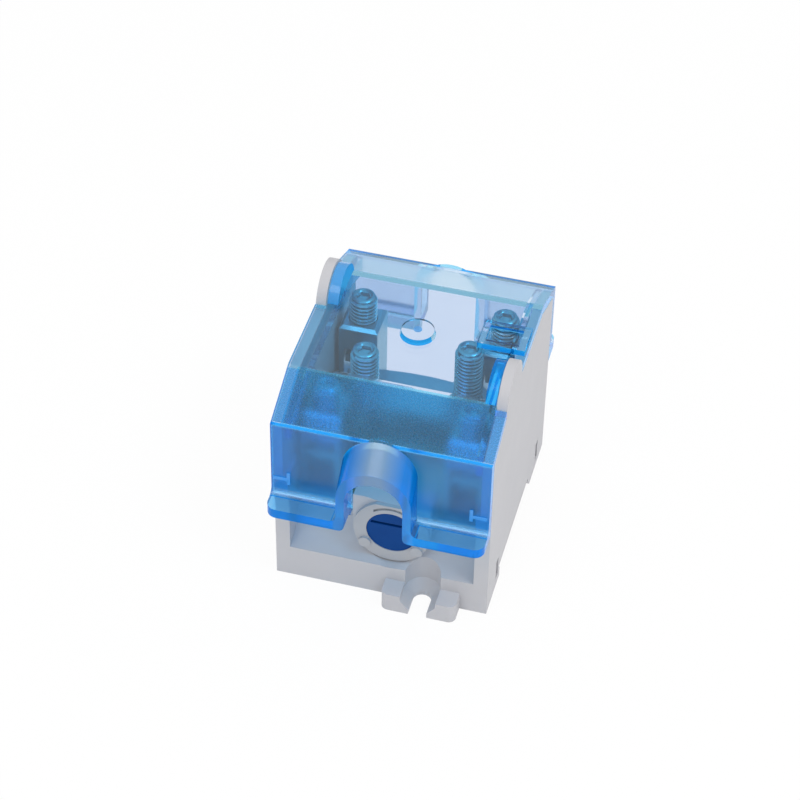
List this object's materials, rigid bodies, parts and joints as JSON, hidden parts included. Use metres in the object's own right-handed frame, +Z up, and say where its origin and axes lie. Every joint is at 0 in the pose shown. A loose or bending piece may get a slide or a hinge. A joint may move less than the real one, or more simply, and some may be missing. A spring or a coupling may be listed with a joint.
{
  "type": "single pole distribution block",
  "caption": "Rail-mounted single pole distribution block: grey housing, clear blue lift-off cover with cable hoods, screw clamps for a through cable and branch conductors.",
  "frame": {"origin": "middle of the face that seats on the mounting rail", "axes": "+Z up away from the rail, +X along the rail to the right, -Y towards the front cable entry"},
  "size_m": [0.0636, 0.0887, 0.072],
  "materials": {
    "housing_plastic": "fine moulded light grey plastic",
    "cover_plastic": "clear blue plastic, frosted on the sloped ends",
    "plug_rubber": "dark blue soft plug",
    "bar_brass": "tin-plated brass",
    "zinc_steel": "zinc-plated steel",
    "screw_steel": "zinc-plated threaded steel"
  },
  "bodies": {
    "housing": {"base_housing": "housing_plastic", "entry_ring": "housing_plastic", "entry_plug": "plug_rubber", "terminal_bar": "bar_brass", "fixing_screws": "zinc_steel", "clamp_bridge": "zinc_steel", "tap_block_front_left": "zinc_steel", "tap_block_front_right": "zinc_steel", "tap_block_back_left": "zinc_steel", "tap_block_back_right": "zinc_steel"},
    "cover": {"cover": "cover_plastic"},
    "saddle": {"pressure_saddle": "zinc_steel"},
    "main_screw_left": {"main_screw_left": "screw_steel"},
    "main_screw_right": {"main_screw_right": "screw_steel"},
    "shoe_front_left": {"tap_shoe_front_left": "zinc_steel"},
    "tap_screw_front_left": {"tap_screw_front_left": "screw_steel"},
    "shoe_front_right": {"tap_shoe_front_right": "zinc_steel"},
    "tap_screw_front_right": {"tap_screw_front_right": "screw_steel"},
    "shoe_back_left": {"tap_shoe_back_left": "zinc_steel"},
    "tap_screw_back_left": {"tap_screw_back_left": "screw_steel"},
    "shoe_back_right": {"tap_shoe_back_right": "zinc_steel"},
    "tap_screw_back_right": {"tap_screw_back_right": "screw_steel"}
  },
  "joints": [
    {"name": "cover_lift", "type": "slide", "parent": "housing", "child": "cover", "axis": [0, 0, 1], "range_m": [0, 0.045]},
    {"name": "saddle_press", "type": "slide", "parent": "housing", "child": "saddle", "axis": [0, 0, -1], "range_m": [0, 0.009]},
    {"name": "main_screw_left_turn", "type": "hinge", "parent": "saddle", "child": "main_screw_left", "pos_m": [-0.0136, -0.00165, 0.0405], "axis": [0, 0, -1], "range_deg": [0, 2593]},
    {"name": "main_screw_right_turn", "type": "hinge", "parent": "saddle", "child": "main_screw_right", "pos_m": [0.0136, 0.00655, 0.0405], "axis": [0, 0, -1], "range_deg": [0, 2593]},
    {"name": "shoe_front_left_press", "type": "slide", "parent": "housing", "child": "shoe_front_left", "axis": [0, 0, -1], "range_m": [0, 0.008]},
    {"name": "tap_screw_front_left_turn", "type": "hinge", "parent": "shoe_front_left", "child": "tap_screw_front_left", "pos_m": [-0.0202, -0.01555, 0.0405], "axis": [0, 0, -1], "range_deg": [0, 2305]},
    {"name": "shoe_front_right_press", "type": "slide", "parent": "housing", "child": "shoe_front_right", "axis": [0, 0, -1], "range_m": [0, 0.008]},
    {"name": "tap_screw_front_right_turn", "type": "hinge", "parent": "shoe_front_right", "child": "tap_screw_front_right", "pos_m": [0.0202, -0.01555, 0.0405], "axis": [0, 0, -1], "range_deg": [0, 2305]},
    {"name": "shoe_back_left_press", "type": "slide", "parent": "housing", "child": "shoe_back_left", "axis": [0, 0, -1], "range_m": [0, 0.008]},
    {"name": "tap_screw_back_left_turn", "type": "hinge", "parent": "shoe_back_left", "child": "tap_screw_back_left", "pos_m": [-0.0202, 0.02045, 0.0405], "axis": [0, 0, -1], "range_deg": [0, 2305]},
    {"name": "shoe_back_right_press", "type": "slide", "parent": "housing", "child": "shoe_back_right", "axis": [0, 0, -1], "range_m": [0, 0.008]},
    {"name": "tap_screw_back_right_turn", "type": "hinge", "parent": "shoe_back_right", "child": "tap_screw_back_right", "pos_m": [0.0202, 0.02045, 0.0405], "axis": [0, 0, -1], "range_deg": [0, 2305]}
  ],
  "couplings": [
    {"joint": "main_screw_left_turn", "follows": "saddle_press", "rad_per_m": 5026.5},
    {"joint": "main_screw_right_turn", "follows": "saddle_press", "rad_per_m": 5026.5},
    {"joint": "tap_screw_front_left_turn", "follows": "shoe_front_left_press", "rad_per_m": 5026.5},
    {"joint": "tap_screw_front_right_turn", "follows": "shoe_front_right_press", "rad_per_m": 5026.5},
    {"joint": "tap_screw_back_left_turn", "follows": "shoe_back_left_press", "rad_per_m": 5026.5},
    {"joint": "tap_screw_back_right_turn", "follows": "shoe_back_right_press", "rad_per_m": 5026.5}
  ]
}
